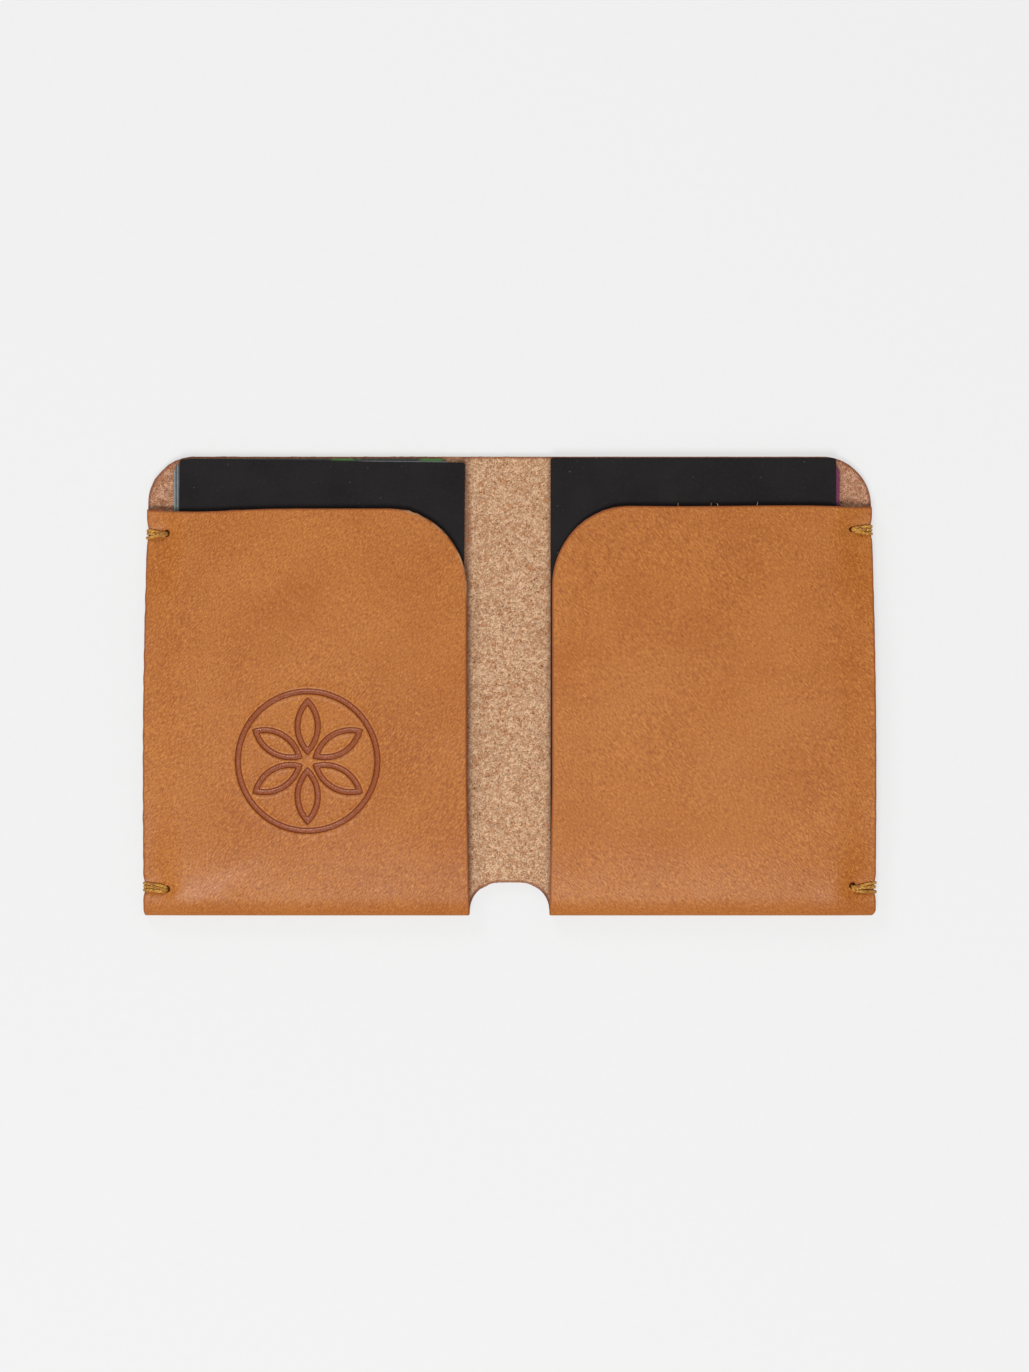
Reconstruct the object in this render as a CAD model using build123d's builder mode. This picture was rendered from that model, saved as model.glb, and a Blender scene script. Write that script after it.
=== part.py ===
from build123d import *
import os

# Open card holder, cut from one piece of leather. The leather is folded up along its bottom edge into two pockets,
# tacked with thread at the four outer corners, and folded in half along the spine between the pockets. It lies
# open on its back. The leather is split into one solid for each flat stretch or bend, and they meet face to face.
# Origin: centre of the open holder's footprint, on the surface it lies on. +X runs across the open holder to its
# right half, +Y from the bottom fold to the pocket mouths and +Z up, away from the surface.

# ---- Driving dimensions, in millimetres ----
leather = 1.5  # thickness of the leather

height = 88.5  # bottom fold to top edge
half_width = 70.6  # spine centre to the outer edge, in the lower part
top_half_width = 69.6  # the same at the top edge
taper_height = 50.0  # height above the bottom edge at which the narrowing starts
top_corner_radius = 9.0

notch_half_width = 7.7  # relief between the two pockets, cut out of the spine's lower end
notch_depth = 6.5
notch_corner_radius = 5.8

pocket_inner = 8.2  # spine centre to a pocket's free inner edge
inner_taper_height = 25.0  # below this height that edge runs in towards the corner of the notch
pocket_height = 78.5  # bottom edge to the pocket mouth
mouth_corner_radius = 15.4

card_room = 1.5  # clear thickness between back panel and pocket
seam_start = 64.6  # from here outwards the pocket slopes down to the back panel
seam_room = 0.1  # what is left of the card room at the outer edge
fold_length = 2.3  # how far the bottom fold reaches up before it turns into flat leather

fold_gap = 6.5  # clear distance between the two back panels when the holder is shut, which is the spine's width

id_card = (53.98, 85.6, 0.76)  # plastic card of the standard size
id_card_radius = 3.18
paper_card = (55.0, 85.0, 0.42)  # printed card
paper_card_radius = 0.6
card_clearance = 0.1

thread_diameter = 0.6
thread_offset = 0.38  # thread centreline to the leather that it lies on
thread_bend = 0.36  # radius of the thread's centreline where it turns a corner
hole_radius = 1.0
hole_inset = 4.6  # outer edge to the centre of a tack's hole
edge_dent = 0.5  # how far a tight tack pulls into the outer edge
top_groove = 0.35  # how deep it sinks into the pocket's leather
under_groove = 0.72  # the same in the back panel, which keeps the thread off the surface underneath
loops = 3
hole_pitch = 0.62  # spacing of the loops in the hole
edge_pitch = 0.85  # and at the outer edge

ornament_x = -38.8
ornament_height = 29.8  # centre of the debossed ornament above the bottom edge
ornament_depth = 0.3
line_width = 1.0
ring_radius = 13.4
petal_start = 1.2  # distance of a petal's inner and outer tip from the ornament's centre
petal_end = 12.2
petal_arc = 7.4  # radius of a petal's two sides

beyond = 10.0  # how far a cutting shape reaches past the leather

# Side of the holder, name and height above the bottom edge of each tack.
tacks = [
    (-1, "upper_left", 73.5),
    (1, "upper_right", 74.3),
    (-1, "lower_left", 5.3),
    (1, "lower_right", 5.6),
]

# ---- Places that follow from them ----
bottom = -height / 2
top = height / 2
panel_start = bottom + fold_length
mouth = bottom + pocket_height
taper_start = bottom + taper_height

spine_half_width = fold_gap / 2


def edge_x(y):
    """Distance from the spine centre to the outer edge at y."""
    share = max(0.0, (y - taper_start) / (top - taper_start))
    return half_width + (top_half_width - half_width) * share


def room(x):
    """Clear thickness between back panel and pocket at distance x from the spine centre."""
    share = max(0.0, (x - seam_start) / (half_width - seam_start))
    return card_room + (seam_room - card_room) * share


def pocket_top(x):
    """Height of the pocket's upper face at distance x from the spine centre."""
    return 2 * leather + room(x)


def tack_seat(side, above):
    """What a tack takes out of the leather: its hole, the dent in the outer edge, and a groove above and below."""
    y = bottom + above
    hole = edge_x(y) - hole_inset
    dent = edge_x(y) - edge_dent
    groove_start = hole - hole_radius
    groove_width = 2 * (edge_pitch + thread_diameter)
    floor_start = pocket_top(groove_start) - top_groove
    floor_end = pocket_top(half_width) - top_groove
    with BuildPart() as seat:
        with BuildSketch():
            with Locations((side * hole, y)):
                Circle(hole_radius)
            with Locations((side * (dent + beyond / 2), y)):
                Rectangle(beyond, groove_width)
        extrude(amount=beyond)
        with BuildSketch():
            with Locations((side * (groove_start + dent) / 2, y)):
                Rectangle(dent - groove_start, groove_width)
        extrude(amount=under_groove)
        with BuildSketch(Plane.XZ.offset(-y)):
            with BuildLine():
                Polyline(
                    (side * groove_start, floor_start),
                    (side * half_width, floor_end),
                    (side * half_width, beyond),
                    (side * groove_start, beyond),
                    close=True,
                )
            make_face()
        extrude(amount=groove_width / 2, both=True)
    return seat


def notch():
    """Outline of the relief between the pockets. It runs on past the bottom edge."""
    with BuildSketch() as relief:
        with Locations((0, bottom)):
            Rectangle(2 * notch_half_width, 2 * notch_depth)
        fillet(relief.vertices().group_by(Axis.Y)[-1], notch_corner_radius)
    return relief


def back_panel(side):
    """The flat outer leather of one half, from the spine's fold line to the outer edge."""
    relief = notch()
    seats = [tack_seat(side, above) for tack_side, _, above in tacks if tack_side == side]
    with BuildPart() as panel:
        with BuildSketch() as outline:
            with BuildLine():
                Polyline(
                    (side * spine_half_width, panel_start),
                    (side * half_width, panel_start),
                    (side * half_width, taper_start),
                    (side * top_half_width, top),
                    (side * spine_half_width, top),
                    close=True,
                )
            make_face()
            top_corners = outline.vertices().group_by(Axis.Y)[-1]
            fillet(top_corners.sort_by(Axis.X)[-1 if side > 0 else 0], top_corner_radius)
            add(relief.sketch, mode=Mode.SUBTRACT)
        extrude(amount=leather)
        for seat in seats:
            add(seat.part, mode=Mode.SUBTRACT)
    return panel


def spine():
    """The stretch between the two fold lines, which becomes the back of the shut holder."""
    relief = notch()
    with BuildPart() as strip:
        with BuildSketch():
            Rectangle(2 * spine_half_width, height)
            add(relief.sketch, mode=Mode.SUBTRACT)
        extrude(amount=leather)
    return strip


def fold_section(side, x):
    """Section of the bottom fold at distance x from the spine centre: a half round between two short flats."""
    inner_radius = room(x) / 2
    outer_radius = inner_radius + leather
    middle = bottom + outer_radius
    with BuildSketch(Plane.YZ.offset(side * x)) as section:
        with BuildLine():
            Line((panel_start, 0), (middle, 0))
            ThreePointArc((middle, 0), (bottom, outer_radius), (middle, 2 * outer_radius))
            Line((middle, 2 * outer_radius), (panel_start, 2 * outer_radius))
            Line((panel_start, 2 * outer_radius), (panel_start, 2 * outer_radius - leather))
            Line((panel_start, 2 * outer_radius - leather), (middle, 2 * outer_radius - leather))
            ThreePointArc(
                (middle, 2 * outer_radius - leather), (bottom + leather, outer_radius), (middle, leather)
            )
            Line((middle, leather), (panel_start, leather))
            Line((panel_start, leather), (panel_start, 0))
        make_face()
    return section


def bottom_fold(side):
    """The half round of leather that joins a back panel to its pocket."""
    flat = fold_section(side, notch_half_width)
    slope_start = fold_section(side, seam_start)
    slope_end = fold_section(side, half_width)
    with BuildPart() as fold:
        extrude(flat.sketch, amount=side * (seam_start - notch_half_width))
        loft([slope_start.sketch, slope_end.sketch], ruled=True)
    return fold


def pocket(side):
    """The pocket's leather, with its mouth at the top and its free edge beside the spine."""
    seats = [tack_seat(side, above) for tack_side, _, above in tacks if tack_side == side]
    under = leather + card_room
    seam_under = leather + seam_room
    with BuildPart() as flap:
        with BuildSketch(Plane.XZ.offset(-mouth)):
            with BuildLine():
                Polyline(
                    (side * notch_half_width, under),
                    (side * seam_start, under),
                    (side * half_width, seam_under),
                    (side * half_width, seam_under + leather),
                    (side * seam_start, under + leather),
                    (side * notch_half_width, under + leather),
                    close=True,
                )
            make_face()
        extrude(amount=mouth - panel_start)
        with BuildSketch() as outline:
            with BuildLine():
                Polyline(
                    (side * notch_half_width, panel_start),
                    (side * half_width, panel_start),
                    (side * half_width, taper_start),
                    (side * edge_x(mouth), mouth),
                    (side * pocket_inner, mouth),
                    (side * pocket_inner, bottom + inner_taper_height),
                    close=True,
                )
            make_face()
            mouth_corners = outline.vertices().group_by(Axis.Y)[-1]
            fillet(mouth_corners.sort_by(Axis.X)[0 if side > 0 else -1], mouth_corner_radius)
        extrude(amount=beyond, mode=Mode.INTERSECT)
        for seat in seats:
            add(seat.part, mode=Mode.SUBTRACT)
    return flap


def ornament():
    """Debossed lines: six outlined petals inside a ring."""
    with BuildSketch() as petal:
        with BuildLine():
            RadiusArc((petal_start, 0), (petal_end, 0), petal_arc)
            RadiusArc((petal_start, 0), (petal_end, 0), -petal_arc)
        make_face()
        offset(amount=-line_width, mode=Mode.SUBTRACT)
    with BuildSketch() as lines:
        Circle(ring_radius + line_width / 2)
        Circle(ring_radius - line_width / 2, mode=Mode.SUBTRACT)
        with PolarLocations(0, 6):
            add(petal.sketch)
    return lines


def card(size, radius, x, top_edge, underside, turn=0.0):
    """A card in a pocket. top_edge is the height of its upper edge's middle above the bottom edge."""
    width, length, thickness = size
    place = Plane(origin=(x, bottom + top_edge - length / 2, underside)).rotated((0, 0, turn))
    with BuildPart() as sheet:
        with BuildSketch(place):
            RectangleRounded(width, length, radius)
        extrude(amount=thickness)
    return sheet


def thread_tack(side, above):
    """Loops of thread through the hole and round the outer edge, fanned out towards the edge."""
    y = bottom + above
    hole = edge_x(y) - hole_inset
    reach = hole_inset - edge_dent + thread_offset
    low = under_groove - thread_offset
    high_at_hole = pocket_top(hole) - top_groove + thread_offset
    high_at_edge = pocket_top(hole + reach) - top_groove + thread_offset
    with BuildPart() as stitches:
        for i in range(loops):
            step = i - (loops - 1) / 2
            along = Vector(side * reach, step * (edge_pitch - hole_pitch), 0)
            loop_plane = Plane(
                origin=(side * hole, y + step * hole_pitch, 0), x_dir=along, z_dir=along.cross(Vector(0, 0, 1))
            )
            with BuildLine(loop_plane) as path:
                FilletPolyline(
                    (0, low),
                    (along.length, low),
                    (along.length, high_at_edge),
                    (0, high_at_hole),
                    radius=thread_bend,
                    close=True,
                )
            with BuildSketch(Plane(origin=path.line @ 0, z_dir=path.line % 0)):
                Circle(thread_diameter / 2)
            sweep(path=path.line)
    return stitches


rear_card_under = leather + card_clearance
front_card_under = rear_card_under + id_card[2] + card_clearance

pieces = {}
for side, name in [(1, "right"), (-1, "left")]:
    pieces["back_panel_" + name] = back_panel(side)
    pieces["bottom_fold_" + name] = bottom_fold(side)
    pieces["pocket_" + name] = pocket(side)
pieces["spine"] = spine()
for side, name, above in tacks:
    pieces["thread_tack_" + name] = thread_tack(side, above)
pieces["rear_card_left"] = card(id_card, id_card_radius, -37.7, 88.1, rear_card_under)
pieces["front_card_left"] = card(paper_card, paper_card_radius, -36.5, 87.6, front_card_under, turn=-0.6)
pieces["rear_card_right"] = card(id_card, id_card_radius, 36.6, 88.0, rear_card_under)
pieces["front_card_right"] = card(paper_card, paper_card_radius, 35.4, 88.2, front_card_under)

marks = ornament()
with BuildPart() as marked_pocket:
    add(pieces["pocket_left"].part)
    with BuildSketch(Plane.XY.offset(pocket_top(0) - ornament_depth)):
        with Locations((ornament_x, bottom + ornament_height)):
            add(marks.sketch)
    extrude(amount=beyond, mode=Mode.SUBTRACT)
pieces["pocket_left"] = marked_pocket

os.makedirs("parts", exist_ok=True)
for name, piece in pieces.items():
    piece.part.label = name
    export_step(piece.part, "parts/" + name + ".step")
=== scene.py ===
import math
import random
from collections import namedtuple

import bmesh
import bpy
import numpy as np
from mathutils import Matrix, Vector, noise


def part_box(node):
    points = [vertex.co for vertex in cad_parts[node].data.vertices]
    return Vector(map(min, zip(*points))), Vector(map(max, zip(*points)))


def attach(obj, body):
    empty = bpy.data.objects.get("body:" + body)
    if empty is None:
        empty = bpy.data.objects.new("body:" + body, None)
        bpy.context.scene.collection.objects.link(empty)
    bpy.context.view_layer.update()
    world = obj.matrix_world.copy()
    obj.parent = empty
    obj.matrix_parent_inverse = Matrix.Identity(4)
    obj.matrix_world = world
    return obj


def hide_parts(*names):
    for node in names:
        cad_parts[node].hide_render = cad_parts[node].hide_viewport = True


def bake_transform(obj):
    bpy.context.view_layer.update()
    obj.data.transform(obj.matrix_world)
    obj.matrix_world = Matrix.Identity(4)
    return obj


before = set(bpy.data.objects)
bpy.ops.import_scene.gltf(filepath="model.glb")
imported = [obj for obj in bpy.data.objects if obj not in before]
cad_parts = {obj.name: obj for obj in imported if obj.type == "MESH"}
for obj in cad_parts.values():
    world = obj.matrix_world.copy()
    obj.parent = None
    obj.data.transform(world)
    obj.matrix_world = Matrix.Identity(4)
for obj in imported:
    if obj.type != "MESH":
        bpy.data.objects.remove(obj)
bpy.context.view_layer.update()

# Shapes are worked out in millimetres, in the frame of the CAD model, and scaled when a mesh is made. Height
# is the distance above the holder's bottom edge, along +Y, and elevation the one above the table, along +Z.
# Both halves are worked out as if on the +X side: side is +1 for the right half and -1 for the left one, and
# the left one is mirrored when its mesh is made. So x is the distance from the spine's middle.
MM = 0.001


def corners(node):
    low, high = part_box(node)
    return low / MM, high / MM


def middle(node):
    low, high = corners(node)
    return (low + high) / 2


# ---- Sizes read from the frame ----
LEATHER = corners("back_panel_right")[1].z
TOP = corners("back_panel_right")[1].y
BOTTOM = corners("bottom_fold_right")[0].y
HEIGHT = TOP - BOTTOM
HALF_WIDTH = corners("bottom_fold_right")[1].x
NOTCH_HALF = corners("pocket_right")[0].x
NOTCH_TOP = corners("spine")[0].y - BOTTOM
CARD_ROOM = corners("pocket_right")[1].z - 2 * LEATHER

# ---- Sizes of the leather that the frame doesn't give ----
TOP_HALF_WIDTH = 69.6
TAPER_START = 30.0
BACK_CORNER = {1: 9.4, -1: 9.0}
BOTTOM_CORNER = {1: 0.5, -1: 0.2}
POCKET_INNER = 8.2
INNER_TAPER_END = 25.0
POCKET_CORNER = 15.4
NOTCH_CORNER = 5.8
NOTCH_STRAIGHT = NOTCH_TOP - NOTCH_CORNER
MOUTH = {1: 78.9, -1: 78.38}
TACK_PULL = 0.42
OUTER_ROUND = 0.26
INNER_ROUND = 0.15
RAGGED = {1: 0.09, -1: 0.2}
FLESH_NAP = 0.05

# ---- How the pocket bulges. By the tacks it has EDGE_ROOM under it, and more between and above them ----
EDGE_ROOM = 0.12
MORE_BETWEEN = 0.95
MORE_ABOVE = 0.25
WAVE_DEPTH = 0.16
WAVE_LENGTH = 19.0

# ---- Where the pocket is thinner: towards the bottom fold, and below a crease at its lower left ----
FOLD_REACH = {1: 7.2, -1: 9.0}
FOLD_SKIVE = {1: 0.4, -1: 0.52}
CORNER_REACH = 3.0
CREASE_X = 64.0
CREASE_HEIGHT = 3.0
CREASE_SLOPE = 0.45
CREASE_DEPTH = 0.32

# ---- The debossed ornament on the left pocket: a ring round six outlined petals ----
ORNAMENT = (38.8, 29.8)
ORNAMENT_DEPTH = 0.42
ORNAMENT_SHOULDER = 0.06
LINE_WIDTH = 1.0
RING_RADIUS = 13.4
PETALS = 6
PETAL_START = 1.2
PETAL_END = 12.2
PETAL_ARC = 7.4

# ---- Tacks. A Tack holds the hole's height, its two radii, and each strand's height at the hole and at the
# edge. Heights are measured from the middle of the tack's CAD node ----
STRAND_RADIUS = 0.31
STRAND_OVERLAP = 0.26
HOLE_X = HALF_WIDTH - 4.6
HOLE_DEPTH = 1.15
UNDER_HOLE_DEPTH = 1.2
TOP_DENT = 0.16
UNDER_GROOVE = 0.72
Tack = namedtuple("Tack", "hole radii strands")
TACKS = {
    (1, "lower"): Tack(0.25, (0.6, 0.6), ((-0.2, 0.75), (-0.35, -0.05), (-0.75, -1.0))),
    (1, "upper"): Tack(0.15, (0.6, 0.5), ((0.25, 0.7), (-0.2, -0.7), (0.0, 0.0))),
    (-1, "lower"): Tack(-0.1, (0.65, 0.6), ((0.35, 0.95), (-0.1, 0.3), (-0.6, -0.35))),
    (-1, "upper"): Tack(0.1, (0.6, 0.7), ((0.0, 0.65), (-0.35, 0.1), (0.3, -0.75))),
}
SIDE_NAMES = {1: "right", -1: "left"}


def tack_height(side, end):
    return middle(f"thread_tack_{end}_{SIDE_NAMES[side]}").y - BOTTOM


def tacks_of(side):
    """Height and details of the two tacks of one side."""
    return [(tack_height(side, end), TACKS[side, end]) for end in ("lower", "upper")]


# ---- Curves used by the shapes ----
def smoothstep(value, start, end):
    t = np.clip((value - start) / (end - start), 0.0, 1.0)
    return t * t * (3.0 - 2.0 * t)


def hump(distance, width):
    """A smooth hump of height 1."""
    return np.exp(-((distance / width) ** 2))


def soft_noise(x, y, size, seed):
    """Smooth noise between about -1 and 1, for two arrays."""
    x, y = np.broadcast_arrays(x, y)
    values = [noise.noise(Vector((a / size, b / size, seed))) for a, b in zip(x.ravel(), y.ravel())]
    return 1.6 * np.array(values).reshape(x.shape)


# ---- Outline of the leather ----
def outer_edge(side, height):
    """The x of the cut outer edge, with the dents where the tacks pull it in."""
    edge = HALF_WIDTH - (HALF_WIDTH - TOP_HALF_WIDTH) * smoothstep(height, TAPER_START, HEIGHT + 10)
    for tack, details in tacks_of(side):
        centre = tack + np.mean([strand[1] for strand in details.strands])
        edge = edge - TACK_PULL * hump(height - centre, 1.6)
    edge = edge - RAGGED[side] * (0.3 + 0.3 * np.sin(height / 0.71) * np.sin(height / 4.3))
    return edge - BOTTOM_CORNER[side] * np.clip(1 - height / 1.1, 0, 1) ** 2


def inner_edge(height):
    """The x of the pocket's free inner edge, below its rounded corner."""
    return NOTCH_HALF + (POCKET_INNER - NOTCH_HALF) * np.clip(height / INNER_TAPER_END, 0, 1)


def mouth(side, x):
    """Height of the pocket's mouth, outside its rounded corner."""
    if side > 0:
        return MOUTH[side] - 0.2 * hump(x - 66, 5.0) + 0.08 * np.sin(x / 7)
    return MOUTH[side] - 0.6 * hump(x - 61, 10.5)


def rounded(across, radius):
    """How far a quarter circle has fallen, across away from where it is level."""
    return radius - np.sqrt(radius**2 - np.clip(across, 0, radius) ** 2)


def pocket_end(side, x):
    return mouth(side, x) - rounded(POCKET_INNER + POCKET_CORNER - x, POCKET_CORNER)


def back_end(side, x):
    return HEIGHT - rounded(x - HALF_WIDTH + BACK_CORNER[side], BACK_CORNER[side])


def notch_end(x):
    return NOTCH_TOP - rounded(x - NOTCH_HALF + NOTCH_CORNER, NOTCH_CORNER)


def pocket_margin(side, x, height):
    """Distance inwards from the pocket's cut edge."""
    across = np.maximum(inner_edge(height) + POCKET_CORNER - x, 0)
    up = np.maximum(height - mouth(side, x) + POCKET_CORNER, 0)
    return np.minimum(POCKET_CORNER - np.hypot(across, up), outer_edge(side, height) - x)


def back_margin(side, x, height):
    """Distance inwards from the back's cut edge, which includes the notch."""
    radius = BACK_CORNER[side]
    across = np.maximum(x - outer_edge(side, height) + radius, 0)
    upper = radius - np.hypot(across, np.maximum(height - HEIGHT + radius, 0))
    across = np.maximum(x - NOTCH_HALF + NOTCH_CORNER, 0)
    return np.minimum(upper, np.hypot(across, np.maximum(height - NOTCH_STRAIGHT, 0)) - NOTCH_CORNER)


# ---- Elevation of the leather above the table ----
def card_room(side, x, height):
    """Clear room between back and pocket: full over the cards, and closed at the outer edge."""
    closed = EDGE_ROOM + MORE_BETWEEN * smoothstep(height, 6, 24) * (1 - smoothstep(height, 54, 73))
    closed = closed + MORE_ABOVE * smoothstep(height, 75, 79)
    room = CARD_ROOM - 0.1 * hump(height, 5.0)
    room = room + (closed - room) * smoothstep(x, 62.5, 70.9)
    for tack, _ in tacks_of(side):
        room = room - 0.55 * np.clip(room - 0.1, 0, 0.8) * hump(np.hypot(x - 68.0, height - tack), 3.0)
    return room


def pocket_thickness(side, x, height):
    """Skived thinner towards the bottom fold, over a shorter reach at the outer corner. The left pocket is
    also pressed flatter there, below a crease."""
    reach = FOLD_REACH[side] - (FOLD_REACH[side] - CORNER_REACH) * smoothstep(x, 50.0, 71.0)
    thickness = LEATHER - FOLD_SKIVE[side] * hump(height, reach)
    if side < 0:
        crease = CREASE_HEIGHT + CREASE_SLOPE * (CREASE_X - x)
        pressed = (1 - smoothstep(height, crease - 2.0, crease + 2.4)) * smoothstep(x, 46, 55)
        thickness = thickness - CREASE_DEPTH * pressed * (1 - smoothstep(x, 66, 70))
    return thickness


def pocket_top(side, x, height):
    """Elevation of the pocket's grain face."""
    wave = WAVE_DEPTH * smoothstep(soft_noise(x * side, height, WAVE_LENGTH, 3.1), -1, 1)
    wave = wave * smoothstep(height, 3, 14) * smoothstep(HALF_WIDTH - x, 1, 9)
    return LEATHER + card_room(side, x, height) + pocket_thickness(side, x, height) + wave


# ---- Grids of points over the folded sheet. RIM is the distance of its first rows from a cut edge ----
COLUMN_STEP = 0.68
BACK_ROW_STEP = 0.8
SPINE_ROW_STEP = 0.3
RIM = np.array([0.0, 0.035, 0.1, 0.2, 0.38, 0.7])
POCKET_KNEE = 58.0
BACK_KNEE = 70.0
LEVEL_END = 6.0
LOW_ROWS = 8
FOLD_ROWS = 16
SPINE_FOLD_ROWS = 5
SPINE_COLUMNS = 22


def corner_steps(radius, smallest):
    """Distances inwards from a straight edge beside a rounded corner, which divide the corner evenly."""
    angles = [0.0]
    while angles[-1] < math.pi / 2 - smallest:
        angles.append(angles[-1] + min(smallest, COLUMN_STEP / radius / max(math.sin(angles[-1]), 0.1)))
    return radius * (1 - np.cos(np.minimum(angles, math.pi / 2)))


def columns(side):
    """The x of each of the grid's columns."""
    inner = POCKET_INNER + corner_steps(POCKET_CORNER, math.radians(4))
    outer = HALF_WIDTH - corner_steps(BACK_CORNER[side], math.radians(5))
    count = round((outer[-1] - inner[-1]) / COLUMN_STEP)
    return np.concatenate([inner, np.linspace(inner[-1], outer[-1], count)[1:-1], outer[::-1]])


def falling_rows(end, knee, low, step):
    """Heights of the grid's rows in each column, from a cut edge down. They follow the cut edge at its rim,
    are level from the knee down, and come to low at the bottom fold."""
    rim = end[None, :] - RIM[:, None]
    share = np.linspace(1, 0, round((end.max() - knee) / step))[1:, None]
    under_rim = knee + share * (rim[-1:] - knee)
    level = np.arange(knee - step, LEVEL_END, -step)[:, None] + 0 * end
    share = np.linspace(1, 0, LOW_ROWS + 1)[1:, None]
    return np.vstack([rim, under_rim, level, low + share * (level[-1:] - low)])


def fold_radius(side, x):
    """Outer radius of the bottom fold: half of the holder's thickness there, which a few rounds settle."""
    radius = 2.0 + 0 * x
    for _ in range(6):
        radius = 0.5 * pocket_top(side, x, radius)
    return radius


def fold_points(side, x, radius, angles):
    """Height and elevation of the grain face and of the flesh face round the bottom fold. The angle goes
    from 90 degrees at the pocket to -90 degrees at the back."""
    upper = radius - pocket_thickness(side, x, radius)
    lower = radius - LEATHER
    inner = lower + (upper - lower) * (0.5 + 0.5 * np.sin(angles))
    grain = (radius * (1 - np.cos(angles)), radius * (1 + np.sin(angles)))
    flesh = (radius - inner * np.cos(angles), radius + inner * np.sin(angles))
    return grain, flesh


def notch_angle(radius):
    """Angle round the bottom fold where the notch's straight side ends and the spine begins."""
    return -np.arccos(1 - NOTCH_STRAIGHT / radius)


def points(x, height, elevation):
    return np.stack(np.broadcast_arrays(x, height, elevation), -1)


def half_grids(side):
    """Grain face, flesh face and cut edge margin of one half, as grids over pocket, bottom fold and back,
    and the row where the spine begins."""
    nominal = columns(side)
    share = (nominal - POCKET_INNER) / (HALF_WIDTH - POCKET_INNER)
    radius = fold_radius(side, nominal)

    height = falling_rows(pocket_end(side, nominal), POCKET_KNEE, radius, COLUMN_STEP)
    inner = inner_edge(height)
    x = inner + share * (outer_edge(side, height) - inner)
    top = pocket_top(side, nominal, height)
    under = top - pocket_thickness(side, nominal, height)
    pocket = (points(x, height, top), points(x, height, under), pocket_margin(side, x, height))

    spine_start = float(notch_angle(radius[0]))
    to_spine = np.linspace(math.pi / 2, spine_start, FOLD_ROWS + 1)[1:]
    past_spine = np.linspace(spine_start, -math.pi / 2, SPINE_FOLD_ROWS + 1)[1:]
    angles = np.concatenate([to_spine, past_spine])[:, None]
    grain, flesh = fold_points(side, nominal, radius, angles)
    x = NOTCH_HALF + share * (outer_edge(side, grain[0]) - NOTCH_HALF)
    margin = np.where(angles > 0, pocket_margin(side, x, grain[0]), back_margin(side, x, grain[0]))
    fold = (points(x, *grain), points(x, *flesh), margin)

    height = falling_rows(back_end(side, nominal), BACK_KNEE, radius, BACK_ROW_STEP)[-2::-1]
    x = NOTCH_HALF + share * (outer_edge(side, height) - NOTCH_HALF)
    back = (points(x, height, 0.0), points(x, height, LEATHER), back_margin(side, x, height))
    grids = [np.concatenate(parts) for parts in zip(pocket, fold, back)]
    return grids, len(pocket[0]) + FOLD_ROWS - 1


def spine_grids(side):
    """Grain face, flesh face and cut edge margin of one side of the spine, from its middle to the half."""
    near_half = NOTCH_HALF - np.array([0.9, 0.6, 0.35, 0.15, 0.0])
    x = np.append(np.linspace(0, NOTCH_HALF - 1.2, SPINE_COLUMNS), near_half)
    beside = np.array([POCKET_INNER])
    radius = fold_radius(side, beside)
    angles = np.linspace(float(notch_angle(radius[0])), -math.pi / 2, SPINE_FOLD_ROWS + 1)[:-1, None]
    grain, flesh = fold_points(side, beside, radius, angles)
    height = falling_rows(np.array([HEIGHT]), BACK_KNEE, radius, SPINE_ROW_STEP)[::-1]
    grain = (np.vstack([grain[0], height]), np.vstack([grain[1], 0 * height]))
    flesh = (np.vstack([flesh[0], height]), np.vstack([flesh[1], LEATHER + 0 * height]))

    curl = smoothstep(x, NOTCH_HALF - 3.0, NOTCH_HALF)
    share = (grain[0] - NOTCH_STRAIGHT) / (HEIGHT - NOTCH_STRAIGHT)
    height = notch_end(x) + share * (HEIGHT - notch_end(x))
    flesh_height = height + curl * (flesh[0] - grain[0])
    outer = points(x, height, curl * grain[1])
    inner = points(x, flesh_height, LEATHER + curl * (flesh[1] - LEATHER))
    return outer, inner, back_margin(side, x, height)


# ---- Relief pressed into the sheet ----
def ornament_distance(x, height):
    """Distance from the middle of the ornament's nearest line."""
    x = x - ORNAMENT[0]
    y = height - ORNAMENT[1]
    distance = np.abs(np.hypot(x, y) - RING_RADIUS)
    half_chord = (PETAL_END - PETAL_START) / 2
    centre = (PETAL_END + PETAL_START) / 2
    offset = math.sqrt(PETAL_ARC**2 - half_chord**2)
    for petal in range(PETALS):
        angle = math.tau * (petal + 0.5) / PETALS
        along = x * math.cos(angle) + y * math.sin(angle) - centre
        across = np.abs(y * math.cos(angle) - x * math.sin(angle))
        outline = np.hypot(along, across + offset) - PETAL_ARC
        distance = np.minimum(distance, np.abs(outline + LINE_WIDTH / 2))
    return distance


def press_ornament(x, height):
    """How deep the grain face is pressed in, and how much it is burnished. The same mask places the painted
    shade along the grooves' borders.
    """
    distance = ornament_distance(x, height)
    groove = 1 - smoothstep(distance, 0.3, 0.6)
    shoulder = ORNAMENT_SHOULDER * hump(distance - 0.88, 0.22)
    return ORNAMENT_DEPTH * groove - shoulder, 1 - smoothstep(distance, 0.36, 0.66)


def hole_distance(x, height, tack, details):
    """Distance from a tack's hole, where 1 is its rim."""
    radii = details.radii
    distance = np.hypot((x - HOLE_X) / radii[0], (height - tack - details.hole) / radii[1])
    return distance + 0.16 * soft_noise(x, height, 0.7, 4.4)


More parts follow.
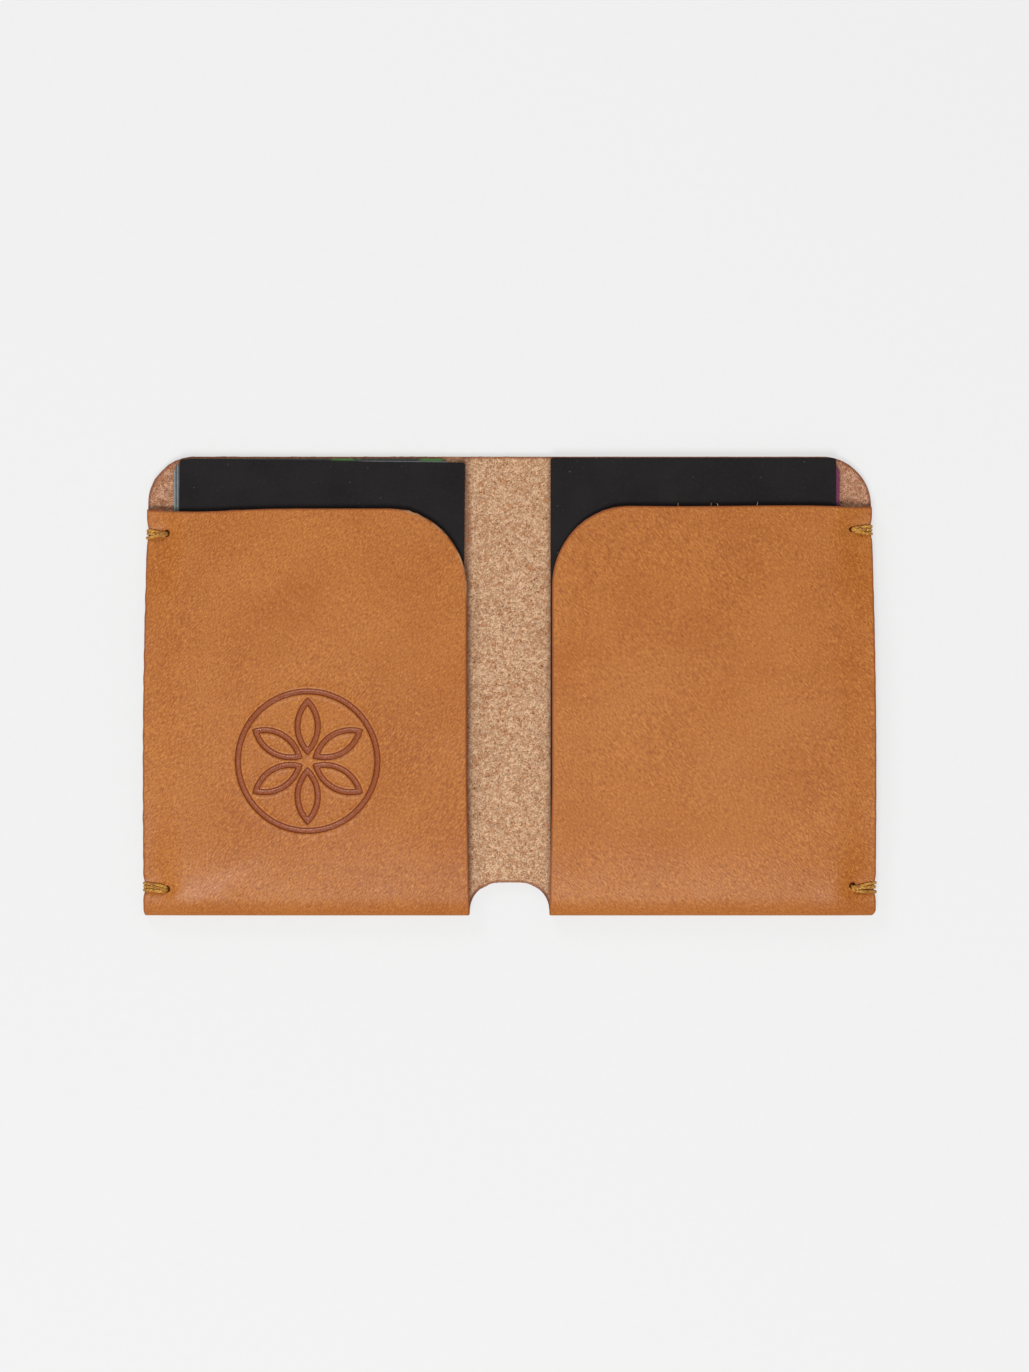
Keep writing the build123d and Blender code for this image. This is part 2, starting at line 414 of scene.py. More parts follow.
def press_tacks(side, x, height):
    """How deep the pocket is pressed in by the tacks and their holes, and how much painted shade darkens the
    holes.
    """
    depth = 0 * x
    hole_shade = 0 * x
    for tack, details in tacks_of(side):
        distance = hole_distance(x, height, tack, details)
        away = np.abs(height - tack - np.mean(details.strands))
        dent = (1 - smoothstep(away, 0.7, 1.5)) * smoothstep(x, HOLE_X, HOLE_X + 1.2)
        hole = 1 - smoothstep(distance, 0.6, 1.1)
        depth = depth + TOP_DENT * dent + HOLE_DEPTH * hole + 0.12 * hump(distance, 1.9)
        hole_shade = np.maximum(hole_shade, 1 - smoothstep(distance, 0.7, 1.25))
    return depth, hole_shade


def press_underside(side, x, height):
    """How deep the tacks' strands are let into the underside."""
    depth = 0 * x
    for tack, details in tacks_of(side):
        away = np.abs(height - tack - np.mean(details.strands))
        groove = (1 - smoothstep(away, 0.75, 1.2)) * smoothstep(x, HOLE_X - 0.7, HOLE_X - 0.1)
        hole = 1 - smoothstep(hole_distance(x, height, tack, details), 0.6, 1.1)
        depth = np.maximum(depth, np.maximum(UNDER_GROOVE * groove, UNDER_HOLE_DEPTH * hole))
    return depth


# ---- Meshes ----
GRAIN, FLESH, CUT = 0, 1, 2
WALL_SHARES = (0.18, 0.5, 0.82)

# The elevations that tell the pocket's grain face and the underside from the rest.
POCKET_ABOVE = 2.2
UNDERSIDE_BELOW = 0.6

# Where the mesh is divided: round a tack, how far past its hole, the radius and the number of cuts.
TACK_DIVISIONS = ((1.8, 4.4, 1), (0.3, 2.4, 2))
ORNAMENT_DIVISION = (RING_RADIUS + 1.4, 4)


def new_object(name, data):
    thing = bpy.data.objects.new(name, data)
    bpy.context.scene.collection.objects.link(thing)
    return thing


def new_mesh(name, vertices, faces, materials):
    """An object from points in millimetres."""
    mesh = bpy.data.meshes.new(name)
    mesh.from_pydata((np.asarray(vertices) * MM).tolist(), [], faces)
    for material in materials:
        mesh.materials.append(material)
    return new_object(name, mesh)


def read_points(mesh):
    values = np.empty(len(mesh.vertices) * 3)
    mesh.vertices.foreach_get("co", values)
    return values.reshape(-1, 3) / MM


def write_points(mesh, co):
    mesh.vertices.foreach_set("co", (co * MM).ravel())
    mesh.update()


def smooth_outwards(mesh):
    """Turns every face outwards and smooths it."""
    bm = bmesh.new()
    bm.from_mesh(mesh)
    bmesh.ops.recalc_face_normals(bm, faces=bm.faces)
    for face in bm.faces:
        face.smooth = True
    bm.to_mesh(mesh)
    bm.free()


def closed_loft(rows, around):
    """Faces of a closed body whose points are rows of loops."""
    last = (rows - 1) * around
    faces = [tuple(range(around))[::-1], tuple(range(last, last + around))]
    for row in range(rows - 1):
        for k in range(around):
            a, b = row * around + k, row * around + (k + 1) % around
            faces.append((a, b, b + around, a + around))
    return faces


def rim_of(rows, width):
    """Rows and columns of the points round a grid's rim."""
    rim = [(0, i) for i in range(width)] + [(j, width - 1) for j in range(1, rows)]
    rim += [(rows - 1, i) for i in range(width - 2, -1, -1)] + [(j, 0) for j in range(rows - 2, 0, -1)]
    return np.array(rim).T


def wall_rows(side, outer, inner, rim, hidden):
    """Rows of points across the cut edge, from the grain face to the flesh face, ragged where it shows."""
    j, i = rim
    rows, width = outer.shape[:2]
    outwards = outer[j, i] - outer[np.clip(j, 1, rows - 2), np.clip(i, 1, width - 2)]
    outwards = outwards / np.linalg.norm(outwards, axis=-1, keepdims=True)
    walls = []
    for k, share in enumerate((0.0, *WALL_SHARES, 1.0)):
        wall = outer[j, i] + share * (inner[j, i] - outer[j, i])
        ragged = soft_noise(wall[:, 0] + wall[:, 2], wall[:, 1], 0.8, 5.0 + k)
        ragged = ragged + 0.6 * soft_noise(wall[:, 0], wall[:, 1], 3.0, 8.0)
        ragged = 0.02 + RAGGED[side] * np.clip(ragged, 0, 1)
        walls.append(wall + outwards * np.where(hidden, 0, ragged)[:, None])
    return walls


def sheet_faces(rows, width, rim, hidden):
    """Faces of a closed sheet, their materials, and the edges where it meets the next piece."""
    faces = []
    kinds = []
    for layer, kind in ((0, GRAIN), (rows * width, FLESH)):
        for row in range(rows - 1):
            for column in range(width - 1):
                a = layer + row * width + column
                faces.append((a, a + 1, a + width + 1, a + width))
                kinds.append(kind)
    flat = rim[0] * width + rim[1]
    count = len(flat)
    rings = [flat] + [2 * rows * width + k * count + np.arange(count) for k in range(len(WALL_SHARES))]
    rings = [ring.tolist() for ring in rings + [rows * width + flat]]
    pairs = [(a, (a + 1) % count) for a in range(count)]
    for low, high in zip(rings, rings[1:]):
        for a, b in pairs:
            faces.append((low[a], low[b], high[b], high[a]))
            kinds.append(FLESH if hidden[a] and hidden[b] else CUT)
    met = [(a, b) for a, b in pairs if hidden[a] and hidden[b]]
    seam = {frozenset((ring[a], ring[b])) for ring in (rings[0], rings[-1]) for a, b in met}
    return faces, kinds, seam


def sheet_piece(name, grids, side, joined, materials):
    """A closed sheet of leather. grids are its grain face, its flesh face and the margin to its cut edge.
    joined says which points of the grids' rim touch the next piece, where the wall is plain."""
    outer, inner, margin = grids
    through = inner - outer
    through = through / np.linalg.norm(through, axis=-1, keepdims=True)
    outer = outer + through * rounded(OUTER_ROUND - margin, OUTER_ROUND)[..., None]
    inner = inner - through * rounded(INNER_ROUND - margin, INNER_ROUND)[..., None]
    rim = rim_of(*margin.shape)
    j, i = rim
    hidden = joined[j, i]
    outer[j, i], *walls, inner[j, i] = wall_rows(side, outer, inner, rim, hidden)
    vertices = np.concatenate([outer.reshape(-1, 3), inner.reshape(-1, 3), *walls])
    vertices[:, 0] *= side
    vertices[:, 1] += BOTTOM

    faces, kinds, seam = sheet_faces(*margin.shape, rim, hidden)
    piece = new_mesh(name, vertices, faces, materials)
    mesh = piece.data
    mesh.polygons.foreach_set("material_index", kinds)
    margins = np.concatenate([margin.ravel(), margin.ravel(), np.zeros(len(j) * len(WALL_SHARES))])
    mesh.attributes.new("margin", "FLOAT", "POINT").data.foreach_set("value", margins.astype(np.float32))
    smooth_outwards(mesh)
    for edge in mesh.edges:
        edge.use_edge_sharp = frozenset(edge.vertices) in seam
    return piece


def divide(piece, place, radius, cuts, upper):
    """Divides the grain face's mesh round a place given by x and height, on the pocket if upper is true and
    else on the underside."""
    bm = bmesh.new()
    bm.from_mesh(piece.data)
    inside = set()
    for vertex in bm.verts:
        x, y, z = vertex.co / MM
        near = math.hypot(abs(x) - place[0], y - BOTTOM - place[1]) < radius
        if near and (z > POCKET_ABOVE if upper else z < UNDERSIDE_BELOW):
            inside.add(vertex)
    chosen = [
        edge
        for edge in bm.edges
        if edge.verts[0] in inside
        and edge.verts[1] in inside
        and all(face.material_index == GRAIN for face in edge.link_faces)
    ]
    bmesh.ops.subdivide_edges(bm, edges=chosen, cuts=cuts, use_grid_fill=True)
    bm.to_mesh(piece.data)
    bm.free()


def grain_vertices(mesh):
    """Marks the vertices that only grain faces use."""
    grain = np.zeros(len(mesh.vertices), bool)
    other = np.zeros(len(mesh.vertices), bool)
    for face in mesh.polygons:
        (grain if face.material_index == GRAIN else other)[list(face.vertices)] = True
    return grain


def leather_half(side, materials):
    """Back, bottom fold and pocket of one half."""
    grids, spine_row = half_grids(side)
    joined = np.zeros(grids[2].shape, bool)
    joined[spine_row:, 0] = True
    piece = sheet_piece(f"leather_{SIDE_NAMES[side]}", grids, side, joined, materials)
    if side < 0:
        divide(piece, ORNAMENT, *ORNAMENT_DIVISION, True)
    for tack, _ in tacks_of(side):
        for upper in (True, False):
            for past_hole, radius, cuts in TACK_DIVISIONS:
                divide(piece, (HOLE_X + past_hole, tack), radius, cuts, upper)

    mesh = piece.data
    co = read_points(mesh)
    x = co[:, 0] * side
    height = co[:, 1] - BOTTOM
    grain = grain_vertices(mesh)
    upper = grain & (co[:, 2] > POCKET_ABOVE)
    under = grain & (co[:, 2] < UNDERSIDE_BELOW)
    depth, hole_shade = press_tacks(side, x, height)
    burnish_and_groove_shade = 0 * x
    if side < 0:
        deboss, burnish_and_groove_shade = press_ornament(x, height)
        depth = depth + deboss
    co[:, 2] -= np.where(upper, depth, 0)
    co[:, 2] += np.where(under, press_underside(side, x, height), 0)
    write_points(mesh, co)
    paint_marks(mesh, np.where(upper, burnish_and_groove_shade, 0), np.where(upper, hole_shade, 0))
    return piece


def paint_marks(mesh, burnish_and_groove_shade, hole_shade):
    """Stores what the materials need: closeness to the cut edge, burnish with the grooves' painted shade,
    the holes' painted shade, and each point's place when the holder is open, so that the grain bends with
    the leather."""
    margin = np.empty(len(mesh.vertices), np.float32)
    mesh.attributes["margin"].data.foreach_get("value", margin)
    edge = 1 - smoothstep(margin, 0.0, 0.9)
    colours = np.stack([edge, burnish_and_groove_shade, hole_shade, 1 + 0 * edge], -1).astype(np.float32)
    mesh.attributes.remove(mesh.attributes["margin"])
    mesh.attributes.new("marks", "FLOAT_COLOR", "POINT").data.foreach_set("color", colours.ravel())
    place = read_points(mesh).astype(np.float32)
    mesh.attributes.new("place", "FLOAT_VECTOR", "POINT").data.foreach_set("vector", place.ravel())


def spine_half(side, materials):
    """One side of the spine, the strip where the real holder bends as it is shut."""
    grids = spine_grids(side)
    joined = np.zeros(grids[2].shape, bool)
    joined[:, [0, -1]] = True
    piece = sheet_piece(f"spine_{SIDE_NAMES[side]}", grids, side, joined, materials)
    mesh = piece.data
    co = read_points(mesh)
    x = co[:, 0] * side
    nap = np.where(co[:, 2] > LEATHER - 0.02, FLESH_NAP, 0)
    nap = nap * smoothstep(x, 0, 0.6) * smoothstep(NOTCH_HALF - x, 0, 0.8)
    co[:, 2] += nap * soft_noise(co[:, 0], co[:, 1], 0.9, 2.0)
    write_points(mesh, co)
    paint_marks(mesh, 0 * x, 0 * x)
    return piece


# ---- Tubes: twisted threads and loose fibres. A ply's place and radius are shares of STRAND_RADIUS ----
PLIES = 3
TWIST = 2.3
PLY_PLACE = 0.5
PLY_RADIUS = 0.54
PLY_STEP = 0.11
FIBRE_PLACES = (32.7, 38.8, 40.1, 47.7)
FIBRE_RADII = (0.07, 0.03)
FIBRE_STEP = 0.12


def smooth_path(route, spacing):
    """Points evenly spaced along a Catmull-Rom curve through the route's points."""
    route = np.array(route, float)
    ends = np.vstack([2 * route[0] - route[1], route, 2 * route[-1] - route[-2]])
    t = np.linspace(0, 1, 20, endpoint=False)[:, None]
    spans = []
    for a, b, c, d in zip(ends, ends[1:], ends[2:], ends[3:]):
        spans.append(b + 0.5 * t * (c - a + t * (2 * a - 5 * b + 4 * c - d + t * (3 * (b - c) + d - a))))
    curve = np.vstack(spans + [route[-1:]])
    length = np.concatenate([[0], np.cumsum(np.linalg.norm(np.diff(curve, axis=0), axis=1))])
    places = np.linspace(0, length[-1], max(4, round(length[-1] / spacing)))
    return np.stack([np.interp(places, length, curve[:, k]) for k in range(3)], -1), places


def frames_along(path):
    """Two directions across the path at each of its points, which turn as little as they can."""
    tangents = np.gradient(path, axis=0)
    tangents = tangents / np.linalg.norm(tangents, axis=1, keepdims=True)
    across = np.cross(tangents[0], (0.3, 0.2, 1.0))
    first = []
    for tangent in tangents:
        across = across - tangent * (across @ tangent)
        across = across / np.linalg.norm(across)
        first.append(across)
    first = np.array(first)
    return first, np.cross(tangents, first)


def tube(path, radii, around):
    """Vertices and faces of a closed tube."""
    first, second = frames_along(path)
    angles = np.linspace(0, math.tau, around, endpoint=False)
    circle = first[:, None] * np.cos(angles)[None, :, None] + second[:, None] * np.sin(angles)[None, :, None]
    vertices = (path[:, None] + circle * np.reshape(radii, (-1, 1, 1))).reshape(-1, 3)
    return vertices, closed_loft(len(path), around)


def joined_tubes(name, tubes, side, material):
    """One object from several tubes worked out on the +X side."""
    vertices = []
    faces = []
    start = 0
    for tube_vertices, tube_faces in tubes:
        vertices.append(tube_vertices * (side, 1, 1) + (0, BOTTOM, 0))
        faces += [tuple(start + v for v in face) for face in tube_faces]
        start += len(tube_vertices)
    piece = new_mesh(name, np.vstack(vertices), faces, [material])
    smooth_outwards(piece.data)
    return piece


def strand_tubes(route, phase):
    """The plies of one strand of twisted thread."""
    path, places = smooth_path(route, PLY_STEP)
    first, second = frames_along(path)
    tubes = []
    for ply in range(PLIES):
        angle = (math.tau * (places / TWIST + ply / PLIES) + phase)[:, None]
        centre = path + PLY_PLACE * STRAND_RADIUS * (first * np.cos(angle) + second * np.sin(angle))
        wobble = 1 + 0.06 * np.sin(places * 5 + 2 * ply + phase)
        tubes.append(tube(centre, PLY_RADIUS * STRAND_RADIUS * wobble, 8))
    return tubes


def strand_route(side, tack, details, strand, order):
    """Where a strand runs: up out of the hole, over the pocket, round the edge and back underneath."""
    at_hole, at_edge = strand
    hole = tack + details.hole
    start = tack + at_hole
    end = tack + at_edge
    edge = float(outer_edge(side, end))
    lift = STRAND_OVERLAP * order

    def top(x, height):
        """Elevation of the pocket's face, pressed in by the strands."""
        return float(pocket_top(side, np.array([x]), np.array([height]))[0]) - 0.14

    route = [(HOLE_X, hole, top(HOLE_X, hole) - 1.0)]
    route.append((HOLE_X + 0.1, 0.5 * (hole + start), top(HOLE_X, start) - 0.3))
    for share in (0.16, 0.36, 0.6, 0.82):
        x = HOLE_X + share * (edge - HOLE_X)
        height = start + (end - start) * smoothstep(share, -0.1, 1.05)
        over = lift * hump(share - 0.45, 0.3)
        route.append((x, height, top(x, height) + 0.8 * STRAND_RADIUS + over - 0.1 * (share < 0.2)))
    high = top(edge - 0.3, end)
    below = tack + 0.5 * (at_edge + np.mean(details.strands))
    clear = 1.3 * STRAND_RADIUS
    return route + [
        (edge + 0.05, end, high + 0.1),
        (edge + 0.22, end, high - 0.75),
        (edge + 0.22, end, 1.0),
        (edge - 0.05, end, 0.42),
        (edge - 1.2, below, clear),
        (HOLE_X + 0.8, below, clear),
        (HOLE_X + 0.1, 0.5 * (below + hole), 0.75),
        (HOLE_X, hole, 1.15),
    ]


def thread_tack(side, end, material):
    tack = tack_height(side, end)
    details = TACKS[side, end]
    tubes = []
    for order, strand in enumerate(details.strands):
        tubes += strand_tubes(strand_route(side, tack, details, strand, order), 1.7 * order)
    return joined_tubes(f"waxed_thread_{end}_{SIDE_NAMES[side]}", tubes, side, material)


def stray_fibres(material):
    """Loose fibres of leather at the right pocket's mouth."""
    draw = random.Random(4)
    tubes = []
    for x in FIBRE_PLACES:
        height = float(mouth(1, x)) - 0.15
        z = float(pocket_top(1, np.array([x]), np.array([height]))[0]) - 0.5
        route = [(x, height, z)]
        lean = draw.uniform(-0.5, 0.5)
        for step in range(1, 4):
            sway = draw.uniform(-0.12, 0.12)
            rise = step * draw.uniform(0.16, 0.3)
            route.append((x + lean * step * 0.4 + sway, height + rise, z + draw.uniform(-0.1, 0.2)))
        path, _ = smooth_path(route, FIBRE_STEP)
        tubes.append(tube(path, np.linspace(*FIBRE_RADII, len(path)), 5))
    return joined_tubes("stray_leather_fibres", tubes, 1, material)


# ---- Cards: width, length and corner radius ----
ID_CARD = (53.98, 85.6, 3.18)
PAPER_CARD = (55.0, 85.0, 0.6)
CARD_BEVEL = 0.09
CORNER_STEPS = 10
BLACK_CARD_TURN = 0.6


def card(name, node, width, length, corner, turn, material):
    """A flat card with rounded corners and softened edges, where its CAD node lies."""
    low, high = corners(node)
    centre = middle(node)
    bevel_angles = np.radians([0, 45, 90])
    profile = [(CARD_BEVEL * (1 - math.cos(a)), CARD_BEVEL * (1 - math.sin(a))) for a in bevel_angles]
    levels = [(inset, high.z - drop) for inset, drop in profile]
    levels = [(inset, low.z + drop) for inset, drop in profile[::-1]] + levels
    outline = []
    for inset, z in levels:
        for quarter, (sx, sy) in enumerate(((1, 1), (-1, 1), (-1, -1), (1, -1))):
            for step in range(CORNER_STEPS + 1):
                angle = math.pi / 2 * (quarter + step / CORNER_STEPS)
                x = sx * (width / 2 - corner) + (corner - inset) * math.cos(angle)
                y = sy * (length / 2 - corner) + (corner - inset) * math.sin(angle)
                outline.append((x, y, z))
    x, y, z = np.array(outline).T
    turned_x = centre.x + x * math.cos(turn) - y * math.sin(turn)
    turned_y = centre.y + x * math.sin(turn) + y * math.cos(turn)
    faces = closed_loft(len(levels), 4 * (CORNER_STEPS + 1))
    piece = new_mesh(name, points(turned_x, turned_y, z), faces, [material])
    for face in piece.data.polygons:
        face.use_smooth = len(face.vertices) == 4
    return piece


# ---- Materials ----
def shown(red, green, blue):
    """A linear colour from its numbers on a screen, 0 to 255."""
    shares = (red / 255, green / 255, blue / 255)
    return tuple(((c + 0.055) / 1.055) ** 2.4 if c > 0.04 else c / 12.92 for c in shares)


class Surface:
    """A procedural material. Colours are linear and lengths are millimetres. With kept_place, its patterns
    follow the places that paint_marks stored."""

    def __init__(self, name, kept_place=False, **values):
        self.material = bpy.data.materials.new(name)
        self.material.use_nodes = True
        self.nodes = self.material.node_tree.nodes
        self.links = self.material.node_tree.links
        self.shader = self.nodes["Principled BSDF"]
        for socket, value in values.items():
            self.shader.inputs[socket.replace("_", " ")].default_value = value
        if kept_place:
            self.place = self.add("ShaderNodeAttribute", {}, "Vector", attribute_name="place")
        else:
            place = self.nodes.new("ShaderNodeTexCoord").outputs["Object"]
            self.place = self.add("ShaderNodeVectorMath", {0: place, "Scale": 1 / MM}, operation="SCALE")

    def add(self, kind, inputs, output=0, **settings):
        """Adds a node. inputs are numbers, colours or the outputs of other nodes."""
        node = self.nodes.new(kind)
        for setting, value in settings.items():
            setattr(node, setting, value)
        for socket, value in inputs.items():
            if isinstance(value, bpy.types.NodeSocket):
                self.links.new(value, node.inputs[socket])
            else:
                node.inputs[socket].default_value = value
        return node.outputs[output]

    def apply(self, operation, a, b=0.0):
        """The result of a math operation."""
        return self.add("ShaderNodeMath", {0: a, 1: b}, operation=operation)

    def times(self, first, *others):
        """The product of some values."""
        product = first
        for value in others:
            product = self.apply("MULTIPLY", product, value)
        return product

    def apart(self, a, b):
        """How far apart two values are."""
        return self.apply("ABSOLUTE", self.apply("SUBTRACT", a, b))

    def stretched(self, angle, along):
        """Coordinates in which a pattern is drawn out along a direction given in degrees."""
        inputs = {"Vector": self.place, "Scale": (along, 1.0, 1.0)}
        inputs["Rotation"] = (0, 0, math.radians(angle))
        return self.add("ShaderNodeMapping", inputs, vector_type="TEXTURE")

    def noise(self, size, detail=3.0, roughness=0.55, distortion=0.0, place=None):
        """Cloudy noise about 0.5, with features of the given size."""
        inputs = {"Vector": place or self.place, "Scale": 1 / size, "Detail": detail}
        inputs.update({"Roughness": roughness, "Distortion": distortion})
        return self.add("ShaderNodeTexNoise", inputs)

    def curls(self, size, thickness, seed):
        """Thin curled lines: 1 along a line and 0 away from it."""
        place = self.add("ShaderNodeVectorMath", {0: self.place, 1: (seed, 2 * seed, 0)}, operation="ADD")
        field = self.noise(size, 1.0, 0.5, 1.6, place)
        broken = self.between(self.noise(1.1 * size, 0.0, 0.5, 0.0, place), 0.42, 0.5)
        return self.times(broken, self.between(self.apart(field, 0.5), thickness, 0.2 * thickness))

    def cells(self, size, place):
        """Distance from the nearest of many scattered points."""
        return self.add("ShaderNodeTexVoronoi", {"Vector": place, "Scale": 1 / size}, "Distance")

    def between(self, value, low, high, start=0.0, end=1.0):
        """value, remapped smoothly from low..high to start..end."""
        inputs = {"Value": value, "From Min": low, "From Max": high, "To Min": start, "To Max": end}
        return self.add("ShaderNodeMapRange", inputs, interpolation_type="SMOOTHSTEP")

    def mix(self, share, a, b, blend="MIX"):
        """Colour a, turned into colour b by a share. The node's sockets 6 and 7 and output 2 are colours."""
        inputs = {0: share}
        for socket, colour in ((6, a), (7, b)):
            inputs[socket] = colour if isinstance(colour, bpy.types.NodeSocket) else (*colour, 1.0)
        return self.add("ShaderNodeMix", inputs, 2, data_type="RGBA", blend_type=blend)

    def cover(self, share, colour, blend="MIX"):
        """Covers a share of the surface with another colour."""
        self.colour = self.mix(share, self.colour, colour, blend)

    def stain(self, value, low, high, strength, colour):
        """Covers the surface with another colour, up to a strength, as value goes from low to high."""
        self.cover(self.between(value, low, high, 0.0, strength), colour)

    def axes(self):
        """The place's X, Y and Z."""
        return self.add("ShaderNodeSeparateXYZ", {0: self.place}).node.outputs

    def marks(self):
        """Closeness to the cut edge, burnish with the grooves' painted shade, and the holes' painted shade,
        as leather meshes store them.
        """
        colour = self.add("ShaderNodeAttribute", {}, "Color", attribute_name="marks")
        return self.add("ShaderNodeSeparateColor", {0: colour}).node.outputs

    def sum(self, *terms):
        """The sum of (value, factor) pairs."""
        total = 0.0
        for value, factor in terms:
            total = self.add("ShaderNodeMath", {0: value, 1: factor, 2: total}, operation="MULTIPLY_ADD")
        return total

    def finish(self, roughness, relief=None, depth=0.1):
        """Connects the surface. relief is about 0 to 1 and stands for depth millimetres."""
        self.links.new(self.colour, self.shader.inputs["Base Color"])
        self.links.new(roughness, self.shader.inputs["Roughness"])
        if relief is not None:
            bump = self.add("ShaderNodeBump", {"Height": relief, "Distance": depth * MM, "Strength": 1.0})
            self.links.new(bump, self.shader.inputs["Normal"])
        return self.material


# The pale rim on the left pocket's rounded corner: axes, and where along them it grows from 0 to 1.
PALE_RIM = (("X", (-23.0, -18.0)), ("Y", (14.0, 22.0)), ("X", (-6.0, -8.0)))
STREAKS = {1: -48, -1: 52}


def grain_leather(name, streaks):
    """Smooth vegetable tanned leather with fine pores drawn out along a direction given in degrees."""
    s = Surface(name, True, IOR=1.45, Specular_IOR_Level=0.36)
    edge, burnish_and_groove_shade, hole_shade = s.marks()
    clouds = s.noise(16.0, 3.0)
    patches = s.noise(4.5, 4.0, 0.6)
    along = s.stretched(streaks, 3.2)
    hairs = s.noise(0.2, 3.0, 0.6, 0.3, along)
    specks = s.noise(0.22, 2.0, 0.6, 0.0, s.stretched(streaks, 1.6))
    pores = s.cells(0.36, along)
    creases = s.noise(1.5, 4.0, 0.62, 1.2, s.stretched(streaks - 20, 1.6))
    axes = s.axes()
    fold = s.between(axes["Y"], BOTTOM + 3.8, BOTTOM + 1.0)
    s.colour = s.mix(s.between(clouds, 0.3, 0.7), shown(169, 95, 30), shown(181, 109, 44))
    s.stain(patches, 0.35, 0.7, 0.25, shown(184, 110, 44))
    s.stain(hairs, 0.5, 0.68, 0.75, shown(134, 66, 18))
    s.stain(hairs, 0.5, 0.32, 0.7, shown(211, 140, 68))
    s.stain(specks, 0.54, 0.7, 0.5, shown(134, 68, 22))
    s.stain(edge, 0.45, 1.0, 0.75, shown(140, 72, 34))
    corner = [s.between(axes[axis], *span) for axis, span in PALE_RIM]
    pale = s.times(*corner, s.between(edge, 0.6, 0.9), s.between(patches, 0.4, 0.6, 0.0, 0.7))
    s.cover(pale, shown(206, 162, 118))
    groove = s.mix(s.between(specks, 0.35, 0.7), shown(158, 86, 54), shown(128, 62, 38))
    s.cover(s.times(burnish_and_groove_shade, 0.9), groove)
    # Painted shade: a dark line round each groove's border stands in for the shade on the grooves' walls.
    outline = s.times(s.between(burnish_and_groove_shade, 0.08, 0.4), s.between(burnish_and_groove_shade, 0.98, 0.6))
    s.cover(s.times(outline, 0.8), shown(98, 36, 16))
    # Painted shade in and round the tack holes.
    s.cover(s.times(hole_shade, 0.85), shown(92, 42, 20))
    # Painted shade: the colour is darker along the bottom fold, toning down the fold's highlight there.
    s.cover(s.times(fold, 0.3), shown(160, 88, 30))
    worn = s.sum((creases, 0.2), (patches, 0.24), (burnish_and_groove_shade, -0.2))
    roughness = s.sum((hairs, 0.16), (worn, 1.0), (hole_shade, 0.3), (fold, 0.3), (0.12, 1.0))
    relief = s.sum((hairs, 0.5), (specks, 0.3), (pores, 0.25), (creases, 0.9))
    return s.finish(roughness, relief, 0.055)


CORNER_TINT = (0.82, 0.71, 0.72)


def flesh_leather(name):
    """The rough back of the leather, with curled fibres. It has painted shade beside the pockets' inner
    edges, where the pockets shade the spine, and is redder at the outer corners."""
    s = Surface(name, True, IOR=1.4, Specular_IOR_Level=0.2, Sheen_Weight=0.12, Sheen_Roughness=0.6)
    edge = s.marks()[0]
    clouds = s.noise(7.0, 3.0)
    mat = s.noise(0.5, 3.0, 0.6, 0.8)
    pits = s.noise(0.32, 2.0, 0.6, 0.6)
    fibres = s.curls(0.8, 0.06, 3.0)
    for layer in (7.0, 12.0, 19.0):
        fibres = s.apply("MAXIMUM", fibres, s.curls(0.8, 0.06, layer))
    s.colour = s.mix(s.between(clouds, 0.3, 0.7), shown(188, 133, 91), shown(197, 144, 102))
    s.stain(mat, 0.48, 0.62, 0.75, shown(152, 94, 62))
    s.stain(pits, 0.54, 0.66, 0.9, shown(104, 58, 34))
    s.cover(s.times(fibres, 0.85), shown(238, 198, 160))
    s.stain(edge, 0.1, 0.9, 0.75, shown(150, 88, 56))
    across = s.apply("ABSOLUTE", s.axes()["X"])
    # Painted shade: a darker band beside each pocket's inner edge, standing in for the pocket's contact
    # shadow.
    shade_beside_pockets = s.between(across, POCKET_INNER - 1.4, POCKET_INNER, 0.0, 0.58)
    shade_beside_pockets = s.times(shade_beside_pockets, s.between(across, POCKET_INNER + 2.0, POCKET_INNER + 1.0))
    s.cover(shade_beside_pockets, shown(134, 84, 62))
    s.cover(s.between(across, 54.0, 62.0), CORNER_TINT, "MULTIPLY")
    roughness = s.sum((mat, 0.1), (0.85, 1.0))
    relief = s.sum((fibres, 0.5), (mat, -0.6), (pits, -0.6))
    return s.finish(roughness, relief, 0.12)


def cut_leather(name):
    """The cut edge, darkened and fibrous."""
    s = Surface(name, True, IOR=1.45)
    layers = s.add("ShaderNodeMapping", {"Vector": s.place, "Scale": (1.0, 1.0, 3.5)})
    fibres = s.noise(0.5, 4.0, 0.65, 0.6, layers)
    patches = s.noise(2.6, 3.0)
    s.colour = s.mix(s.between(patches, 0.35, 0.65), shown(112, 54, 32), shown(140, 74, 42))
    s.stain(fibres, 0.5, 0.7, 0.7, shown(70, 32, 22))
    s.stain(fibres, 0.46, 0.3, 0.4, shown(184, 118, 74))
    return s.finish(s.sum((fibres, 0.3), (0.55, 1.0)), fibres, 0.12)


def waxed_thread():
    """Ochre thread, with fine pale and dark lines along it: painted highlights and painted shade."""
    s = Surface("waxed_thread", IOR=1.48, Sheen_Weight=0.1)
    threads = s.noise(0.16, 3.0, 0.6, 0.4, s.stretched(20, 4.0))
    patches = s.noise(0.9, 3.0)
    s.colour = s.mix(s.between(patches, 0.35, 0.65), shown(164, 102, 22), shown(206, 144, 40))
    # Painted shade and painted highlights: dark and pale lines from the same noise.
    s.stain(threads, 0.5, 0.66, 0.8, shown(92, 46, 8))
    s.stain(threads, 0.46, 0.32, 0.85, shown(255, 218, 116))
    return s.finish(s.sum((threads, 0.2), (0.34, 1.0)), threads, 0.05)


def loose_fibre():
    """A raised fibre of leather, patchily pale."""
    s = Surface("loose_fibre", IOR=1.45)
    patches = s.noise(1.4, 2.0)
    s.colour = s.mix(s.between(patches, 0.4, 0.6), shown(176, 104, 60), shown(226, 190, 140))
    return s.finish(s.sum((patches, 0.2), (0.7, 1.0)))


